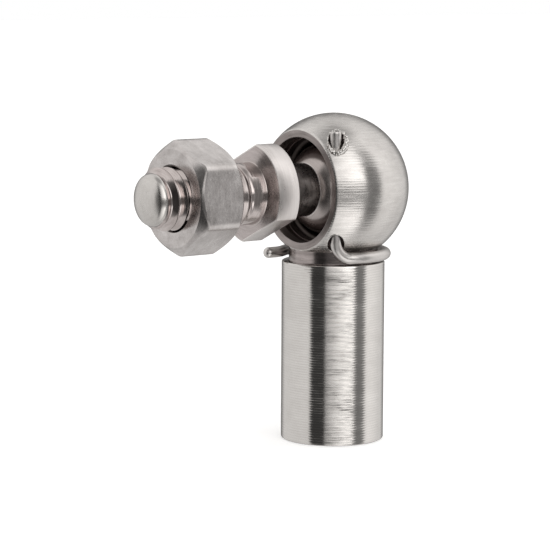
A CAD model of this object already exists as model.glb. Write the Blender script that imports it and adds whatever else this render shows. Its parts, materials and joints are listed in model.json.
"""Looks of an angle ball joint with a safety clip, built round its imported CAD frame.

Lengths are in metres, and angles in radians unless a name ends in _DEG. A lathe piece is built about
its own local Z axis: upwards for the shank, and out of the mouth for the head, the stud and the nut.
The snap ring is built about the mouth's axis too.
"""

import json
import math

import bmesh
import bpy
from mathutils import Matrix, Vector, noise


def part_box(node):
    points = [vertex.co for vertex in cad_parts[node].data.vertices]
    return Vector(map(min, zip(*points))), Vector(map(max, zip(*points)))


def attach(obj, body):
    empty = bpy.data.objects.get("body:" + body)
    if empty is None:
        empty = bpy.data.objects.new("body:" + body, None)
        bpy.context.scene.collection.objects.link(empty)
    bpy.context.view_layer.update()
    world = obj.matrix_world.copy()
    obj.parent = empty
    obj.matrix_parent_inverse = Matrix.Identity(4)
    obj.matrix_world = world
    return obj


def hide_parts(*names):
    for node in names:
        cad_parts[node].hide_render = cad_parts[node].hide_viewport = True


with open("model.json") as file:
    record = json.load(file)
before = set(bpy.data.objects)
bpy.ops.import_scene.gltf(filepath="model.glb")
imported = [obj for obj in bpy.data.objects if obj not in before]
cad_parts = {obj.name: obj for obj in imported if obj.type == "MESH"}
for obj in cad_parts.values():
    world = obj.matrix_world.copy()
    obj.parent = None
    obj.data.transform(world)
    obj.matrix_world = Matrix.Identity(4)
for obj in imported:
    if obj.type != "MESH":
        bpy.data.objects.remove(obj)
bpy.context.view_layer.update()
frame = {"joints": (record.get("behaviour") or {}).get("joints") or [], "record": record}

MM = 0.001
# Sides of a lofted piece, and the bend from which an edge stays sharp
SIDES = 240
SHARP_DEG = 32

# ---- Places and sizes that the frame gives
# TIP, SEAT_FACE, NUT_NEAR and NUT_FAR are distances from the middle of the ball along the stud, and
# RING_OUT is one from the middle of the head out of the mouth.

JOINTS = {joint["name"]: joint for joint in frame["joints"]}
MOUNTS = {mount["name"]: mount for mount in frame["record"]["mounts"]}
socket_low, socket_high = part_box("ball_socket")
stud_low, stud_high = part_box("ball_stud")
nut_low, nut_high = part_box("hex_nut")
ring_low, ring_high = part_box("snap_ring")
clip_low, clip_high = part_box("safety_clip")

BALL = Vector(JOINTS["stud_tilt"]["pos_m"])
HEAD = Vector((0, 0, BALL.z))
HEAD_R = socket_high.z - BALL.z
SHANK_R = -socket_low.x
ROD_R = MOUNTS["rod_thread"]["dims"]["r_mm"] * MM
ROD_DEPTH = MOUNTS["rod_thread"]["dims"]["length_mm"] * MM
BALL_R = stud_high.x - BALL.x
TIP = BALL.x - stud_low.x
SEAT_FACE = BALL.x - MOUNTS["lever_seat"]["pos_m"][0]
THREAD_R = MOUNTS["stud_thread"]["dims"]["r_mm"] * MM
NUT_NEAR, NUT_FAR = BALL.x - nut_high.x, BALL.x - nut_low.x
RING_WIRE_R = (ring_high.x - ring_low.x) / 2
RING_R = (ring_high.y - ring_low.y) / 2 - RING_WIRE_R
RING_OUT = -(ring_high.x + ring_low.x) / 2
LEG = Vector(JOINTS["clip_swing"]["pos_m"])

# ---- Sizes of the socket
# RIM_OUT and MOUTH_STEP are distances from the middle of the head out of the mouth.

RIM_OUT = 4.45 * MM
MOUTH_R = 5.15 * MM
MOUTH_STEP = 2.9 * MM
SHANK_TOP = 17.8 * MM
WAIST_R = 4.4 * MM
SEAT_R = BALL_R + 0.05 * MM
BORE_R = BALL_R + 0.08 * MM
GROOVE_R = RING_R + RING_WIRE_R + 0.1 * MM
GROOVE_HALF = RING_WIRE_R + 0.05 * MM
LEG_HOLE_R = 0.85 * MM
BURR_GAP = 0.12 * MM
COUNTERSINK = 0.6 * MM
PITCH = 1.0 * MM

# ---- Sizes of the stud and the nut
# COLLAR_NEAR is a distance from the middle of the ball along the stud. COLLAR_FLAT and NUT_FLAT are
# distances from its axis to a flat.

NECK_R = 2.6 * MM
COLLAR_NEAR = 8.55 * MM
COLLAR_R = 4.9 * MM
COLLAR_FLAT = 3.9 * MM
FLATS_TURN = math.radians(25)
END_CHAMFER = 0.5 * MM
END_ROUND = 0.8 * MM
END_DOME_R = 3.9 * MM
SHOULDER_LEN = 1.4 * MM
THREAD_DEPTH = 0.62 * MM
RUN_OUT = 2.4 * MM
NUT_FLAT = 4.9 * MM
NUT_TURN = math.radians(5)
NUT_FACE_R = NUT_FLAT * 0.95
NUT_BEVEL = math.tan(math.radians(40))
NUT_CORNER_ROUND = 0.95 * MM
NUT_EDGE = 0.2 * MM
NUT_HOLE_R = THREAD_R + 0.05 * MM

# ---- Sizes of the clip and the snap ring

WIRE_R = 0.55 * MM
# How far the top of the leg leans in its hole, along X and along Y
LEG_LEAN = (-0.07 * MM, 0.049 * MM)
BOW_R = 5.15 * MM
# How far the bow goes on past half a turn
BOW_EXTRA = math.atan2(4, 3)
FLARE_LEAD = 0.5 * MM
FLARE_R = 2.2 * MM
FLARE_TURN = math.atan2(3, 4)
FLARE_LEN = 0.6 * MM
CLIP_STEP = 0.08 * MM
RING_OPENING = math.radians(26)

# ---- The photograph's view

VIEW_AZ_DEG = -37.53
VIEW_EL_DEG = 7.52
VIEW_ROLL_DEG = 0.27
VIEW_DISTANCE = 0.2281
VIEW_AIM = Vector((-0.00726, 0, 0.01685))
VIEW_LENS = 153.39

# ---- Places of the materials in the lists of the socket, the stud and the nut

SHANK_SIDE, MOUTH_FACE, BORE, WAIST, HEAD_SIDE = range(5)
BALL_SIDE, STUD_THREAD, STUD_END, SEAT, NECK, COLLAR = range(6)
NUT_SIDE, NUT_HOLE = range(2)


# ---- Mesh helpers


def out_of_mouth(origin):
    """The matrix that turns local +Z to point out of the mouth, along -X, from origin."""
    return Matrix.Translation(origin) @ Matrix.Rotation(-math.pi / 2, 4, "Y")


def loft(bm, rows, material, sides=SIDES):
    """Joins rows round local Z. A row is (radius, height), or a function of the angle that gives them."""
    grid = []
    for row in rows:
        line = []
        for i in range(sides + 1):
            angle = 2 * math.pi * i / sides
            radius, height = row(angle) if callable(row) else row
            line.append(bm.verts.new((radius * math.cos(angle), radius * math.sin(angle), height)))
        grid.append(line)
    for near, far in zip(grid, grid[1:]):
        for i in range(sides):
            face = bm.faces.new((near[i], near[i + 1], far[i + 1], far[i]))
            face.material_index = material
            face.smooth = True


def rounded(corners):
    """The outline through corners (radius, height, rounding), with an arc in place of each rounded corner."""
    steps = 4
    points = []
    for i, (radius, height, rounding) in enumerate(corners):
        here = Vector((radius, height))
        if not rounding:
            points.append(tuple(here))
            continue
        back = (Vector(corners[i - 1][:2]) - here).normalized()
        ahead = (Vector(corners[i + 1][:2]) - here).normalized()
        half = back.angle(ahead) / 2
        reach = rounding / math.tan(half)
        centre = here + (back + ahead).normalized() * rounding / math.sin(half)
        start, end = here + back * reach - centre, here + ahead * reach - centre
        for step in range(steps + 1):
            spoke = start.lerp(end, step / steps).normalized() * rounding
            points.append(tuple(centre + spoke))
    return points


def arc(radius, centre, start, end, steps, out=0.0):
    """Points (radius, height) on a circle about (out, centre). Its angles run from the local Z axis."""
    turns = [start + (end - start) * i / steps for i in range(steps + 1)]
    return [(abs(out + radius * math.sin(turn)), centre + radius * math.cos(turn)) for turn in turns]


# Stations of one thread turn: share of the pitch, and share of the depth there
THREAD_TURN = [(0, 0.06), (0.03, 0), (0.12, 0), (0.15, 0.06), (0.43, 0.93), (0.5, 1), (0.64, 1), (0.71, 0.93)]


def thread(low, high, crest, depth, run_out, chamfer=None):
    """Rows of a right-hand helical thread from low to high. A negative depth cuts outwards, as in a hole.

    The groove runs out at the low end. So it does at the high end, unless chamfer gives the radius that
    this end is turned down to.
    """

    def station(turn, share, cut):
        def row(angle):
            height = low + PITCH * (turn + share + angle / (2 * math.pi))
            height = min(max(height, low), high)
            radius = crest - depth * cut * min(1, (height - low) / run_out)
            if chamfer is None:
                return crest - (crest - radius) * min(1, (high - height) / run_out), height
            return min(radius, chamfer + high - height), height

        return row

    turns = range(-1, math.ceil((high - low) / PITCH) + 1)
    return [station(turn, share, cut) for turn in turns for share, cut in THREAD_TURN]


def finish_mesh(name, bm, matrix, materials, sharp_deg=SHARP_DEG):
    """Merges the seams, turns the faces outwards and makes the object."""
    seam, sliver = 1e-7, 1e-8
    bmesh.ops.remove_doubles(bm, verts=bm.verts, dist=seam)
    bmesh.ops.dissolve_degenerate(bm, dist=sliver, edges=bm.edges)
    bmesh.ops.recalc_face_normals(bm, faces=bm.faces)
    mesh = bpy.data.meshes.new(name)
    bm.to_mesh(mesh)
    bm.free()
    piece = bpy.data.objects.new(name, mesh)
    bpy.context.scene.collection.objects.link(piece)
    piece.matrix_world = matrix
    for material in materials:
        mesh.materials.append(material)
    mesh.set_sharp_from_angle(angle=math.radians(sharp_deg))
    return piece


def even_shading(piece):
    """Lets the large faces set the normals, so that a small rounding doesn't shade the flat beside it."""
    modifier = piece.modifiers.new("even shading", "WEIGHTED_NORMAL")
    modifier.mode = "FACE_AREA"
    modifier.keep_sharp = True


def cut(piece, tool, operation):
    """Applies a boolean to piece and removes the tool."""
    modifier = piece.modifiers.new(operation, "BOOLEAN")
    modifier.operation = operation
    modifier.solver = "EXACT"
    modifier.object = tool
    bpy.context.view_layer.update()
    evaluated = piece.evaluated_get(bpy.context.evaluated_depsgraph_get())
    mesh = bpy.data.meshes.new_from_object(evaluated)
    piece.modifiers.clear()
    piece.data = mesh
    bpy.data.objects.remove(tool)


def tube(bm, path, radius, sides):
    """A tube along path. radius gives the radius at each point's number and angle round the tube.
    Returns its rings of vertices, and leaves its ends open."""
    tangents = [(b - a).normalized() for a, b in zip([path[0]] + path[:-1], path[1:] + [path[-1]])]
    normal = tangents[0].orthogonal().normalized()
    rings = []
    for i, (point, tangent) in enumerate(zip(path, tangents)):
        normal = (normal - tangent * normal.dot(tangent)).normalized()
        side = tangent.cross(normal)
        spokes = [2 * math.pi * k / sides for k in range(sides)]
        rings.append(
            [bm.verts.new(point + (normal * math.cos(a) + side * math.sin(a)) * radius(i, a)) for a in spokes]
        )
    for near, far in zip(rings, rings[1:]):
        for k in range(sides):
            bm.faces.new((near[k - 1], near[k], far[k], far[k - 1])).smooth = True
    return rings


# ---- Material helpers

# The lathe's feed, in millimetres a turn
FEED = 0.25
# Features per millimetre, and how many times wider the broad bands are than the fine lines
SMUDGE_SCALE = 0.35
PIT_SCALE = 5.0
BROADER = 5
# Shares of the patterns in the tone and in the roughness
BROAD_TONE = 0.3
BROAD_ROUGH = 0.6
PIT_ROUGH = 0.4
# Noise: its middle, where most of it lies and where nearly all of it lies
NOISE_MIDDLE = 0.5
NOISE_CORE = (0.35, 0.65)
NOISE_SPAN = (0.3, 0.7)
# How far the mixed tone strays from its middle before it is all light or all dark
TONE_SPAN = 0.16


def add(tree, kind, inputs=None, **settings):
    """Adds a node. A socket among the inputs is linked, and any other value is set."""
    node = tree.nodes.new(kind)
    for key, value in settings.items():
        setattr(node, key, value)
    for key, value in (inputs or {}).items():
        if isinstance(value, bpy.types.NodeSocket):
            tree.links.new(value, node.inputs[key])
        else:
            node.inputs[key].default_value = value
    return node


def calc(tree, operation, first, second=0.0):
    """One Math node's result."""
    return add(tree, "ShaderNodeMath", {0: first, 1: second}, operation=operation).outputs[0]


def remap(tree, value, low, high, to_low, to_high):
    """value, between low and high, as a number between to_low and to_high."""
    inputs = {"Value": value, "From Min": low, "From Max": high, "To Min": to_low, "To Max": to_high}
    return add(tree, "ShaderNodeMapRange", inputs).outputs["Result"]


def mix_colour(tree, factor, first, second):
    """A blend of two colours."""
    inputs = {0: factor, 6: first, 7: second}
    return add(tree, "ShaderNodeMix", inputs, data_type="RGBA").outputs[2]


def lathe_coordinates(tree, centre, along_x):
    """The place about centre, the distance from the lathe axis through it and the place along that axis,
    in millimetres, and the two parts of the direction round it."""
    place = add(tree, "ShaderNodeTexCoord").outputs["Object"]
    moved = add(tree, "ShaderNodeVectorMath", {0: place, 1: centre}, operation="SUBTRACT").outputs[0]
    scaled = add(tree, "ShaderNodeVectorMath", {0: moved, "Scale": 1 / MM}, operation="SCALE").outputs[0]
    parts = add(tree, "ShaderNodeSeparateXYZ", {0: scaled}).outputs
    first, second, along = (parts[2], parts[1], parts[0]) if along_x else (parts[0], parts[1], parts[2])
    squares = calc(tree, "ADD", calc(tree, "POWER", first, 2.0), calc(tree, "POWER", second, 2.0))
    radius = calc(tree, "SQRT", squares)
    return scaled, radius, along, calc(tree, "DIVIDE", first, radius), calc(tree, "DIVIDE", second, radius)


def turning_lines(tree, lathe, per_mm, round_scale):
    """Noise drawn out round the lathe axis, as the tool and the brush leave it."""
    _, radius, along, cosine, sine = lathe
    vector = add(
        tree,
        "ShaderNodeCombineXYZ",
        {
            0: calc(tree, "MULTIPLY", radius, per_mm),
            1: calc(tree, "MULTIPLY", along, per_mm),
            2: calc(tree, "MULTIPLY", cosine, round_scale),
        },
    ).outputs[0]
    inputs = {
        "Vector": vector,
        "W": calc(tree, "MULTIPLY", sine, round_scale),
        "Scale": 1.0,
        "Detail": 2.0,
        "Roughness": 0.62,
    }
    return add(tree, "ShaderNodeTexNoise", inputs, noise_dimensions="4D").outputs["Fac"]


def grain(tree, place, scale):
    """Even noise, with scale in features per millimetre."""
    inputs = {"Vector": place, "Scale": scale, "Detail": 3.0, "Roughness": 0.6}
    return add(tree, "ShaderNodeTexNoise", inputs, noise_dimensions="3D").outputs["Fac"]


def steel(
    name, light, dark, rough, lines=3.6, line_depth=0.02, grain_depth=0.004, round_scale=2.0, feed_depth=0.0,
    line_tone=0.5, smudge_tone=0.35, pit_tone=0.0, centre=(0, 0, 0), along_x=False, brushed=0.0,
):
    """Turned or brushed steel: fine lines round the lathe axis, broader bands, smudges and small pits.

    light and dark are its two tones, and rough is its least and most roughness. lines is how many fine
    lines there are to a millimetre, and round_scale how often they change on their way round. Depths are
    in millimetres, and feed_depth is that of the even marks that the tool's feed leaves. line_tone,
    smudge_tone and pit_tone are shares in the colour. The lathe axis goes through centre, upright or
    along X. brushed blurs reflections along an upright axis more than round it, as a fine brush does.
    """
    material = bpy.data.materials.new(name)
    material.use_nodes = True
    tree = material.node_tree
    shader = tree.nodes["Principled BSDF"]
    lathe = lathe_coordinates(tree, centre, along_x)
    place, _, along, _, _ = lathe
    fine = turning_lines(tree, lathe, lines, round_scale)
    broad = turning_lines(tree, lathe, lines / BROADER, round_scale / 2)
    smudge = grain(tree, place, SMUDGE_SCALE)
    pits = grain(tree, place, PIT_SCALE)

    def share_of(pattern, share):
        return calc(tree, "MULTIPLY", calc(tree, "SUBTRACT", pattern, NOISE_MIDDLE), share)

    tone = share_of(fine, line_tone)
    for pattern, share in ((broad, BROAD_TONE), (smudge, smudge_tone), (pits, pit_tone)):
        tone = calc(tree, "ADD", tone, share_of(pattern, share))
    tone = remap(tree, tone, -TONE_SPAN, TONE_SPAN, 0.0, 1.0)
    tree.links.new(mix_colour(tree, tone, (*dark, 1), (*light, 1)), shader.inputs["Base Color"])

    broad_part = calc(tree, "MULTIPLY", broad, BROAD_ROUGH)
    spread = calc(tree, "ADD", broad_part, calc(tree, "MULTIPLY", pits, PIT_ROUGH))
    tree.links.new(remap(tree, spread, *NOISE_CORE, *rough), shader.inputs["Roughness"])

    line_height = calc(tree, "MULTIPLY", fine, line_depth)
    height = calc(tree, "ADD", line_height, calc(tree, "MULTIPLY", pits, grain_depth))
    if feed_depth:
        feed = calc(tree, "SINE", calc(tree, "MULTIPLY", along, 2 * math.pi / FEED))
        strength = remap(tree, broad, *NOISE_SPAN, feed_depth / 2, feed_depth)
        height = calc(tree, "ADD", height, calc(tree, "MULTIPLY", feed, strength))
    bump = add(tree, "ShaderNodeBump", {"Strength": 1.0, "Distance": MM, "Height": height})
    tree.links.new(bump.outputs[0], shader.inputs["Normal"])

    shader.inputs["Metallic"].default_value = 1.0
    if brushed:
        shader.inputs["Anisotropic"].default_value = brushed
        shader.inputs["Anisotropic Rotation"].default_value = 0.25
        tangent = add(tree, "ShaderNodeTangent", direction_type="RADIAL", axis="Z")
        tree.links.new(tangent.outputs[0], shader.inputs["Tangent"])
    return material


# ---- Socket


def rod_hole():
    """Rows of the blind threaded hole, from its drilled tip down to the countersink at the shank's end."""
    tip_half_angle = math.radians(59)
    unthreaded, thread_depth, run_out = 1.5 * MM, 0.5 * MM, 0.4 * MM
    rows = [(0, ROD_DEPTH + ROD_R / math.tan(tip_half_angle)), (ROD_R, ROD_DEPTH)]
    threaded = thread(COUNTERSINK, ROD_DEPTH - unthreaded, ROD_R, -thread_depth, run_out)
    return rows + threaded[::-1] + [(ROD_R + COUNTERSINK, 0)]


def make_shank(materials):
    """The shank and the waist, with the threaded hole."""
    end_edge, top_edge, waist_edge = 0.2 * MM, 0.14 * MM, 0.09 * MM
    shelf_r = WAIST_R + 0.1 * MM
    waist_top = SHANK_TOP + 1.6 * MM
    bm = bmesh.new()
    loft(bm, rod_hole(), BORE)
    outside = [
        (ROD_R + COUNTERSINK, 0, 0),
        (SHANK_R, 0, end_edge),
        (SHANK_R, SHANK_TOP, top_edge),
        (shelf_r, SHANK_TOP, 0),
    ]
    loft(bm, rounded(outside), SHANK_SIDE)
    groove = [
        (shelf_r, SHANK_TOP, 0),
        (WAIST_R, SHANK_TOP, waist_edge),
        (WAIST_R, waist_top, 0),
        (0, waist_top, 0),
    ]
    loft(bm, rounded(groove), WAIST)
    return finish_mesh("socket_body", bm, Matrix.Identity(4), materials)


def make_head(materials):
    """The round head, with the mouth, the snap ring's groove and the ball's seat."""
    rim_edge_back, rim_edge_in = 0.08 * MM, 0.06 * MM
    mouth_edge, bore_edge = 0.1 * MM, 0.03 * MM
    rim_r = math.sqrt(HEAD_R**2 - RIM_OUT**2) - rim_edge_in
    rim_depth = MOUTH_STEP + 0.5 * MM
    groove_far, groove_near = RING_OUT + GROOVE_HALF, RING_OUT - GROOVE_HALF
    bm = bmesh.new()
    outside = arc(HEAD_R, 0, math.pi, math.acos((RIM_OUT - rim_edge_back) / HEAD_R), steps=120)
    loft(bm, outside + [(rim_r, RIM_OUT)], HEAD_SIDE)
    rim = [(rim_r, RIM_OUT, 0), (MOUTH_R, RIM_OUT, mouth_edge), (MOUTH_R, rim_depth, 0)]
    loft(bm, rounded(rim), MOUTH_FACE)
    bore = [
        (MOUTH_R, rim_depth, 0),
        (MOUTH_R, MOUTH_STEP, 0),
        (BORE_R, MOUTH_STEP, bore_edge),
        (BORE_R, groove_far, bore_edge),
        (GROOVE_R, groove_far, 0),
        (GROOVE_R, groove_near, 0),
        (BORE_R, groove_near, bore_edge),
        (BORE_R, -BALL.x, 0),
    ]
    seat = arc(SEAT_R, -BALL.x, math.pi / 2, math.pi, steps=48)
    loft(bm, rounded(bore) + seat, BORE)
    return finish_mesh("head_tool", bm, out_of_mouth(HEAD), materials)


def make_leg_hole(materials):
    """What drills the two holes in line for the clip's leg, from the waist's groove up."""
    above_shelf = 0.5 * MM
    low, high = SHANK_TOP + above_shelf, HEAD.z + HEAD_R
    bm = bmesh.new()
    loft(bm, [(0, low), (LEG_HOLE_R, low), (LEG_HOLE_R, high), (0, high)], WAIST, sides=64)
    return finish_mesh("hole_tool", bm, Matrix.Translation((LEG.x, LEG.y, 0)), materials)


def make_socket(materials):
    """Shank, waist and head in one piece, with the leg holes through it."""
    socket = make_shank(materials)
    cut(socket, make_head(materials), "UNION")
    cut(socket, make_leg_hole(materials), "DIFFERENCE")
    socket.data.set_sharp_from_angle(angle=math.radians(SHARP_DEG))
    even_shading(socket)
    return socket


def make_burr(name, material, upper, heavy_turn, size):
    """The rough lip that the drill has pushed up round a leg hole, on the round surface of the head.
    It is heaviest at heavy_turn round the hole, and size is about its thickness there."""
    count = 150
    lump_scale, lump_start = 4.2, 0.5 if upper else 7
    thinnest, lumps, outwards = 0.25, 0.55, 0.3
    notch, notch_along, notch_round = 0.9, 0.35, 1.5
    smallest_r = 0.02 * MM
    path, thickness = [], []
    for i in range(count):
        turn = 2 * math.pi * i / count
        rough = noise.noise(Vector((math.cos(turn), math.sin(turn), lump_start)) * lump_scale)
        heavy = 0.5 + 0.5 * math.cos(turn - heavy_turn)
        thick = size * (thinnest + heavy**2 + lumps * rough)
        ring_r = LEG_HOLE_R + outwards * thick
        x, y = LEG.x + ring_r * math.cos(turn), LEG.y + ring_r * math.sin(turn)
        rise = math.sqrt(HEAD_R**2 - x * x - y * y) + outwards * size
        path.append(Vector((x, y, HEAD.z + rise if upper else HEAD.z - rise)))
        thickness.append(thick)

    def radius(i, angle):
        place = Vector((i * notch_along, math.cos(angle) * notch_round, math.sin(angle) * notch_round))
        thick = thickness[i % count]
        to_wire = LEG_HOLE_R + outwards * thick - WIRE_R - BURR_GAP
        return min(max(smallest_r, thick * (1 + notch * noise.noise(place))), to_wire)

    bm = bmesh.new()
    rings = tube(bm, path, radius, sides=14)
    first, last = rings[0], rings[-1]
    for k in range(len(first)):
        bm.faces.new((last[k - 1], last[k], first[k], first[k - 1])).smooth = True
    return finish_mesh(name, bm, Matrix.Identity(4), [material], sharp_deg=60)


# ---- Snap ring and clip


def make_snap_ring(material):
    """Open ring of round wire, with its two cut ends at the top."""
    count = 160
    sweep = 2 * math.pi - RING_OPENING
    turns = [RING_OPENING / 2 + sweep * i / count for i in range(count + 1)]
    path = [Vector((RING_R * math.cos(t), RING_R * math.sin(t), RING_OUT)) for t in turns]
    end_share, next_share = 0.8, 0.98
    ease = {0: end_share, count: end_share, 1: next_share, count - 1: next_share}
    bm = bmesh.new()
    rings = tube(bm, path, lambda i, angle: RING_WIRE_R * ease.get(i, 1), sides=24)
    bm.faces.new(rings[0])
    bm.faces.new(rings[-1])
    return finish_mesh("retaining_wire", bm, out_of_mouth(HEAD), [material], sharp_deg=45)


def steps_along(length):
    """Shares of the way along a stretch of the clip's wire, from 0 to 1, a step apart."""
    count = round(length / CLIP_STEP)
    return [i / count for i in range(count + 1)]


def leg_and_bend(bow_z, bend_r, start):
    """The clip's leg, from its top down, and the bend that leads into the bow at the angle start."""
    along = Vector((-math.sin(start), math.cos(start), 0))
    foot = Vector((LEG.x, LEG.y, bow_z + bend_r))
    lean = Vector((*LEG_LEAN, clip_high.z - foot.z))
    points = [foot + lean * (1 - share) for share in steps_along(lean.z)[:-1]]
    for share in steps_along(bend_r * math.pi / 2)[:-1]:
        turn = math.pi / 2 * share
        drop = Vector((0, 0, bend_r * math.sin(turn)))
        points.append(foot + along * bend_r * (1 - math.cos(turn)) - drop)
    return points


def free_end(last, heading):
    """The clip's free end after the bow's last point: straight on, bent outwards, straight and rounded."""
    ahead = Vector((math.cos(heading), math.sin(heading), 0))
    outward = Vector((math.sin(heading), -math.cos(heading), 0))
    knee = last + ahead * FLARE_LEAD
    points = [knee]
    for share in steps_along(FLARE_R * FLARE_TURN)[1:]:
        turn = FLARE_TURN * share
        points.append(knee + ahead * FLARE_R * math.sin(turn) + outward * FLARE_R * (1 - math.cos(turn)))
    ahead = ahead * math.cos(FLARE_TURN) + outward * math.sin(FLARE_TURN)
    last = points[-1]
    points += [last + ahead * FLARE_LEN * share for share in steps_along(FLARE_LEN)[1:]]
    last = points[-1]
    end_rings = 12
    turns = [math.pi / 2 * i / end_rings for i in range(1, end_rings + 1)]
    return points + [last + ahead * WIRE_R * math.sin(turn) for turn in turns]


def clip_path():
    """The middle of the clip's wire: leg, bend, bow round the waist, and the free end bent outwards."""
    bow_z = clip_low.z + WIRE_R
    reach = math.hypot(LEG.x, LEG.y)
    bend_r = math.sqrt(reach**2 - BOW_R**2)
    start = math.atan2(LEG.y, LEG.x) + math.asin(bend_r / reach)
    sweep = math.pi + BOW_EXTRA
    turns = [start + sweep * share for share in steps_along(BOW_R * sweep)]
    bow = [Vector((BOW_R * math.cos(turn), BOW_R * math.sin(turn), bow_z)) for turn in turns]
    return leg_and_bend(bow_z, bend_r, start) + bow + free_end(bow[-1], start + sweep + math.pi / 2)


def make_clip(material):
    """The spring wire clip, with its sheared upper end and its rounded free end."""
    path = clip_path()
    lengths = [0.0]
    for a, b in zip(path, path[1:]):
        lengths.append(lengths[-1] + (b - a).length)
    total = lengths[-1]
    shear, sheared_share = 0.1 * MM, 0.86
    wear, wear_per_metre = 0.02, 900
    smallest_r = 0.01 * MM

    def radius(i, angle):
        to_end = total - lengths[i]
        if to_end < WIRE_R:
            return max(WIRE_R * math.sqrt(1 - (1 - to_end / WIRE_R) ** 2), smallest_r)
        if lengths[i] < shear:
            return WIRE_R * (sheared_share + (1 - sheared_share) * lengths[i] / shear)
        return WIRE_R * (1 - wear * (0.5 + noise.noise(path[i] * wear_per_metre)))

    bm = bmesh.new()
    rings = tube(bm, path, radius, sides=40)
    bm.faces.new(rings[0])
    bm.faces.new(rings[-1])
    return finish_mesh("clip_wire_body", bm, Matrix.Identity(4), [material], sharp_deg=50)


# ---- Stud


def collar_row(inset, height):
    """A row of the collar, set in by inset from its round sides and its two spanner flats."""
    no_less = 1e-6

    def row(angle):
        across = abs(math.cos(angle - FLATS_TURN))
        return min(COLLAR_R - inset, (COLLAR_FLAT - inset) / max(across, no_less)), height

    return row


# A rounded edge: shares of its size in from the side and in from the face
EDGE = [(1, 0), (0.45, 0.12), (0.12, 0.45), (0, 1)]


def collar_rows():
    """The collar's rows, from the inner edge of its near face to the inner edge of its seat face."""
    edge = 0.14 * MM
    near = [collar_row(edge * side, COLLAR_NEAR + edge * face) for side, face in EDGE]
    return near + [collar_row(edge * side, SEAT_FACE - edge * face) for side, face in EDGE[::-1]]


def loft_threaded_end(bm, first):
    """The shoulder after row first, then the M6 thread and the stud's rounded and domed end."""
    fillet, fillet_middle = 0.1 * MM, 0.03 * MM
    thread_start = SEAT_FACE + SHOULDER_LEN
    shoulder = [
        (THREAD_R + fillet, SEAT_FACE),
        (THREAD_R + fillet_middle, SEAT_FACE + fillet_middle),
        (THREAD_R, SEAT_FACE + fillet),
        (THREAD_R, thread_start),
    ]
    loft(bm, [first, shoulder[0]], SEAT)
    end_r = THREAD_R - END_CHAMFER
    dome_centre = TIP - END_DOME_R
    round_out = end_r - END_ROUND
    round_centre = dome_centre + math.sqrt((END_DOME_R - END_ROUND) ** 2 - round_out**2)
    dome_turn = math.atan2(round_out, round_centre - dome_centre)
    threaded = thread(thread_start, round_centre, THREAD_R, THREAD_DEPTH, RUN_OUT, end_r)
    loft(bm, shoulder + threaded + [(end_r, round_centre)], STUD_THREAD)
    loft(bm, arc(END_ROUND, round_centre, math.pi / 2, dome_turn, steps=16, out=round_out), STUD_END)
    loft(bm, arc(END_DOME_R, dome_centre, dome_turn, 0, steps=12), STUD_END)


def make_stud(materials):
    """Ball, neck, collar with its spanner flats, shoulder, thread and rounded end, in one piece."""
    neck_turn = math.asin(NECK_R / BALL_R)
    ball_edge_turn, ball_edge, neck_fillet = 0.02, 0.02 * MM, 0.3 * MM
    ball = arc(BALL_R, 0, math.pi, neck_turn + ball_edge_turn, steps=96)
    neck = rounded(
        [
            (*ball[-1], 0),
            (NECK_R, BALL_R * math.cos(neck_turn), ball_edge),
            (NECK_R, COLLAR_NEAR, neck_fillet),
            (COLLAR_FLAT - neck_fillet, COLLAR_NEAR, 0),
        ]
    )
    collar = collar_rows()
    bm = bmesh.new()
    loft(bm, ball, BALL_SIDE)
    loft(bm, neck, NECK)
    loft(bm, [neck[-1]] + collar, COLLAR)
    loft_threaded_end(bm, collar[-1])
    stud = finish_mesh("stud_body", bm, out_of_mouth(BALL), materials)
    even_shading(stud)
    return stud


# ---- Nut


def hexagon(angle):
    """The radius of the nut's rounded hexagon at an angle."""
    half_side = math.pi / 6
    from_corner = (angle - NUT_TURN + half_side) % (2 * half_side) - half_side
    centre = (NUT_FLAT - NUT_CORNER_ROUND) / math.cos(half_side)
    arc_end = math.atan2(
        NUT_CORNER_ROUND * math.sin(half_side), centre + NUT_CORNER_ROUND * math.cos(half_side)
    )
    if abs(from_corner) < arc_end:
        beside = centre * math.sin(from_corner)
        return centre * math.cos(from_corner) + math.sqrt(NUT_CORNER_ROUND**2 - beside**2)
    return NUT_FLAT / math.cos(half_side - abs(from_corner))


def nut_row(face, sign, share):
    """A row near one face, whose outward side is sign. share runs over the bevel from 0 to 1 and then on
    down the side. The edge between the two is worn unevenly."""
    wear, wear_scale = 0.4, 3
    edge_dip, side_start = 0.12, 0.75

    def row(angle):
        outer = hexagon(angle)
        uneven = noise.noise(Vector((math.cos(angle), math.sin(angle), sign)) * wear_scale)
        worn = NUT_EDGE * (1 + wear * uneven)
        drop = (outer - NUT_FACE_R) * NUT_BEVEL
        if share <= 0:
            return NUT_FACE_R, face
        if share < 1:
            back = worn * (1 - share)
            return outer - back, face - sign * (drop - back * NUT_BEVEL + edge_dip * worn * share)
        return outer, face - sign * (drop + worn * (share - side_start))

    return row


def make_nut(materials):
    """Hexagon nut: bevelled faces, rounded and worn corners, countersunk threaded hole."""
    sink, thread_depth, run_out = 0.17 * MM, 0.3 * MM, 0.3 * MM
    shares = [0, 0.02, 0.5, 1, 1.6]
    near_hole, far_hole = (NUT_HOLE_R + sink, NUT_NEAR), (NUT_HOLE_R + sink, NUT_FAR)
    near = [nut_row(NUT_NEAR, -1, share) for share in shares]
    far = [nut_row(NUT_FAR, 1, share) for share in shares]
    threaded = thread(NUT_NEAR + sink, NUT_FAR - sink, NUT_HOLE_R, -thread_depth, run_out)
    bm = bmesh.new()
    loft(bm, [near_hole] + near + far[::-1] + [far_hole], NUT_SIDE)
    loft(bm, [near_hole] + threaded + [far_hole], NUT_HOLE)
    nut = finish_mesh("nut_body", bm, out_of_mouth(BALL), materials)
    even_shading(nut)
    return nut


# ---- Stage


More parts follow.
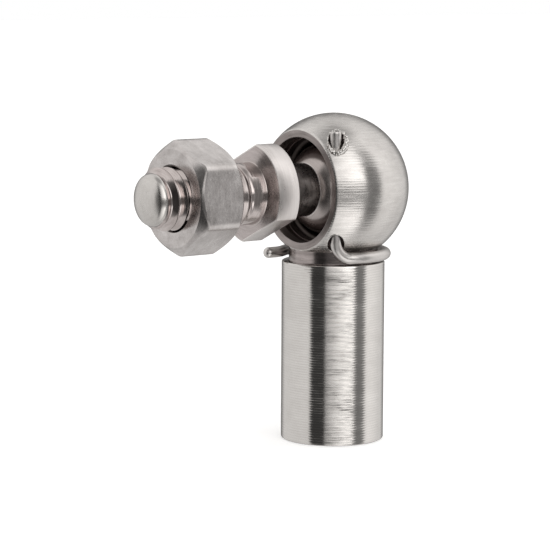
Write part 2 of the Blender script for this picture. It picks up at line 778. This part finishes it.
def ramp(tree, value, stops):
    """A grey level that follows value through stops (value, level)."""
    low, high = stops[0][0], stops[-1][0]
    node = add(tree, "ShaderNodeValToRGB", {"Fac": remap(tree, value, low, high, 0.0, 1.0)})
    elements = node.color_ramp.elements
    elements[0].position, elements[1].position = 0.0, 1.0
    for at, _ in stops[1:-1]:
        elements.new((at - low) / (high - low))
    for element, (_, level) in zip(elements, stops):
        element.color = (level, level, level, 1)
    return node.outputs["Color"]


def blend(tree, factor, first, second):
    """A blend of two numbers."""
    return add(tree, "ShaderNodeMix", {0: factor, 2: first, 3: second}, data_type="FLOAT").outputs[0]


def make_world():
    """Soft white surroundings, plain white to the camera.

    What the metal mirrors has a large bright light in front, with a gap at eye level and a darker strip on
    each side, and is dimmer overhead and straight behind. The angle around starts from the front, and the
    angle above from the horizon. Both are in degrees.
    """
    world = bpy.data.worlds.new("studio")
    world.use_nodes = True
    tree = world.node_tree
    direction = add(tree, "ShaderNodeTexCoord").outputs["Generated"]
    inputs = {"Vector": direction, "Angle": -math.radians(VIEW_AZ_DEG)}
    # The front of the surroundings is -Y once they are turned
    turned = add(tree, "ShaderNodeVectorRotate", inputs, rotation_type="Z_AXIS").outputs[0]
    x, y, z = add(tree, "ShaderNodeSeparateXYZ", {0: turned}).outputs
    around = calc(tree, "DEGREES", calc(tree, "ARCTAN2", x, calc(tree, "MULTIPLY", y, -1.0)))
    above = calc(tree, "DEGREES", calc(tree, "ARCSINE", z))

    sides = ramp(
        tree, around,
        [(-180, 0.75), (-120, 0.87), (-55, 0.9), (60, 0.95), (76, 1.17), (104, 1.1), (130, 0.88), (180, 0.8)],
    )
    lighter_above = remap(tree, above, -60.0, 60.0, 0.8, 1.2)
    sides = calc(tree, "MULTIPLY", sides, lighter_above)
    front = ramp(
        tree, above,
        [(-90, 0.9), (-60, 1.5), (-28, 2.1), (-20, 0.28), (3, 0.25), (12, 2.25), (55, 1.7), (90, 0.95)],
    )
    in_front = ramp(tree, around, [(-180, 0), (-22, 0), (-14, 1), (48, 1), (53, 0), (180, 0)])
    strip = ramp(
        tree, above, [(-90, 0.9), (-60, 0.6), (-32, 0.06), (14, 0.04), (38, 0.15), (60, 0.6), (90, 0.95)]
    )
    left_strip = [(-180, 0), (-56, 0), (-50, 1), (-21, 1), (-17, 0.7), (30, 0)]
    right_strip = [(48, 0), (54, 0.8), (73, 0.8), (81, 0), (180, 0)]
    in_strip = ramp(tree, around, left_strip + right_strip)
    level = blend(tree, in_strip, blend(tree, in_front, sides, front), strip)
    dimmer_behind = remap(tree, y, 0.74, 0.95, 1.0, 0.25)
    level = calc(tree, "MULTIPLY", level, dimmer_behind)
    overhead = ramp(tree, above, [(-90, 0), (60, 0), (76, 1), (90, 1)])
    overhead_level = 0.42
    level = blend(tree, overhead, level, overhead_level)

    white = add(tree, "ShaderNodeLightPath").outputs["Is Camera Ray"]
    tint = mix_colour(tree, white, (1.0, 0.985, 0.97, 1), (1, 1, 1, 1))
    background = tree.nodes["Background"]
    tree.links.new(tint, background.inputs["Color"])
    tree.links.new(blend(tree, white, level, 1.0), background.inputs["Strength"])
    bpy.context.scene.world = world


def make_floor():
    """Plain pale floor, just under the shank's end. Only its shadow shows: the metal mirrors the studio."""
    drop = 0.02 * MM
    bm = bmesh.new()
    bmesh.ops.create_grid(bm, x_segments=4, y_segments=4, size=1.5)
    material = bpy.data.materials.new("pale_floor")
    material.use_nodes = True
    shader = material.node_tree.nodes["Principled BSDF"]
    shader.inputs["Base Color"].default_value = (0.86, 0.86, 0.86, 1)
    shader.inputs["Roughness"].default_value = 0.9
    shader.inputs["Emission Color"].default_value = (1, 1, 1, 1)
    shader.inputs["Emission Strength"].default_value = 0.42
    floor = finish_mesh("floor", bm, Matrix.Translation((0, 0, -drop)), [material])
    floor.visible_glossy = False


def make_camera():
    """The camera at the photograph's viewing angle."""
    azimuth, elevation, roll = map(math.radians, (VIEW_AZ_DEG, VIEW_EL_DEG, VIEW_ROLL_DEG))
    across = math.cos(elevation)
    back = Vector((math.sin(azimuth) * across, -math.cos(azimuth) * across, math.sin(elevation)))
    right = Vector((math.cos(azimuth), math.sin(azimuth), 0))
    up = back.cross(right)
    side = right * math.cos(roll) + up * math.sin(roll)
    turned_up = up * math.cos(roll) - right * math.sin(roll)
    data = bpy.data.cameras.new("camera")
    data.lens = VIEW_LENS
    data.clip_start, data.clip_end = 0.01, 20
    camera = bpy.data.objects.new("camera", data)
    rotation = Matrix((side, turned_up, back)).transposed().to_4x4()
    camera.matrix_world = Matrix.Translation(VIEW_AIM + back * VIEW_DISTANCE) @ rotation
    bpy.context.scene.collection.objects.link(camera)
    bpy.context.scene.camera = camera


# ---- Making it all

make_camera()
make_world()
make_floor()
bpy.context.scene.view_settings.view_transform = "Standard"

turned = steel(
    "turned_steel", (0.70, 0.68, 0.66), (0.58, 0.56, 0.54), (0.12, 0.18), lines=3.8, line_depth=0.018,
    grain_depth=0.001, round_scale=2.6, feed_depth=0.012, line_tone=0.12, brushed=0.4,
)
head_steel = steel(
    "head_steel", (0.70, 0.68, 0.66), (0.50, 0.48, 0.465), (0.2, 0.3), lines=3.4, line_depth=0.018,
    grain_depth=0.003, round_scale=4.0, feed_depth=0.003, line_tone=0.35, brushed=0.75,
)
mouth_face = steel(
    "mouth_face", (0.40, 0.36, 0.35), (0.2, 0.178, 0.17), (0.25, 0.4), lines=5, line_depth=0.006,
    centre=HEAD, along_x=True,
)
bore = steel(
    "oiled_bore", (0.18, 0.145, 0.137), (0.1, 0.08, 0.075), (0.4, 0.5), lines=4, line_depth=0.006,
    centre=HEAD, along_x=True,
)
waist = steel("oiled_waist", (0.46, 0.41, 0.40), (0.2, 0.175, 0.17), (0.16, 0.3), line_depth=0.01)
ball_steel = steel(
    "ball_steel", (0.47, 0.425, 0.41), (0.39, 0.35, 0.335), (0.2, 0.28), line_depth=0.001,
    grain_depth=0.0005,
)
stud_steel = steel(
    "stud_steel", (0.62, 0.565, 0.55), (0.42, 0.375, 0.36), (0.08, 0.17), lines=5, line_depth=0.008,
    grain_depth=0.002,
)
collar_steel = steel(
    "collar_steel", (0.78, 0.745, 0.73), (0.62, 0.585, 0.57), (0.26, 0.36), lines=5, line_depth=0.006,
    grain_depth=0.003,
)
seat_steel = steel(
    "seat_steel", (0.56, 0.51, 0.50), (0.40, 0.36, 0.35), (0.18, 0.3), lines=4, line_depth=0.003,
)
neck_steel = steel(
    "neck_steel", (0.74, 0.70, 0.68), (0.38, 0.345, 0.335), (0.24, 0.36), lines=4, line_depth=0.012,
    line_tone=0.7,
)
end_steel = steel(
    "end_steel", (0.64, 0.62, 0.60), (0.54, 0.52, 0.50), (0.2, 0.3), lines=3, line_depth=0.004,
    grain_depth=0.002,
)
nut_steel = steel(
    "nut_steel", (0.70, 0.67, 0.66), (0.40, 0.375, 0.365), (0.16, 0.28), lines=1.6, line_depth=0.004,
    grain_depth=0.003, line_tone=0.3, smudge_tone=0.6, pit_tone=0.2,
)
nut_hole = steel("nut_hole", (0.2, 0.18, 0.17), (0.1, 0.09, 0.085), (0.25, 0.4))
wire_steel = steel(
    "clip_wire", (0.70, 0.675, 0.66), (0.52, 0.5, 0.485), (0.3, 0.42), lines=3, line_depth=0.004,
    grain_depth=0.006, pit_tone=0.3,
)
ring_steel = steel(
    "spring_steel", (0.08, 0.068, 0.064), (0.045, 0.038, 0.035), (0.34, 0.44), line_depth=0.004,
)
burr_steel = steel("burr_steel", (0.78, 0.76, 0.74), (0.5, 0.48, 0.46), (0.1, 0.25), pit_tone=0.4)

socket = make_socket([turned, mouth_face, bore, waist, head_steel])
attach(socket, "socket")
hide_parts("ball_socket")
burrs = [("upper_hole_burr", True, -84, 0.28 * MM), ("lower_hole_burr", False, 160, 0.05 * MM)]
for name, upper, heavy_deg, size in burrs:
    burr = make_burr(name, burr_steel, upper, math.radians(heavy_deg), size)
    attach(burr, "socket")

retainer = make_snap_ring(ring_steel)
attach(retainer, "retaining_ring")
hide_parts("snap_ring")

clip = make_clip(wire_steel)
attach(clip, "clip")
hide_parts("safety_clip")

stud = make_stud([ball_steel, stud_steel, end_steel, seat_steel, neck_steel, collar_steel])
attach(stud, "stud")
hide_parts("ball_stud")

nut = make_nut([nut_steel, nut_hole])
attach(nut, "nut")
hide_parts("hex_nut")
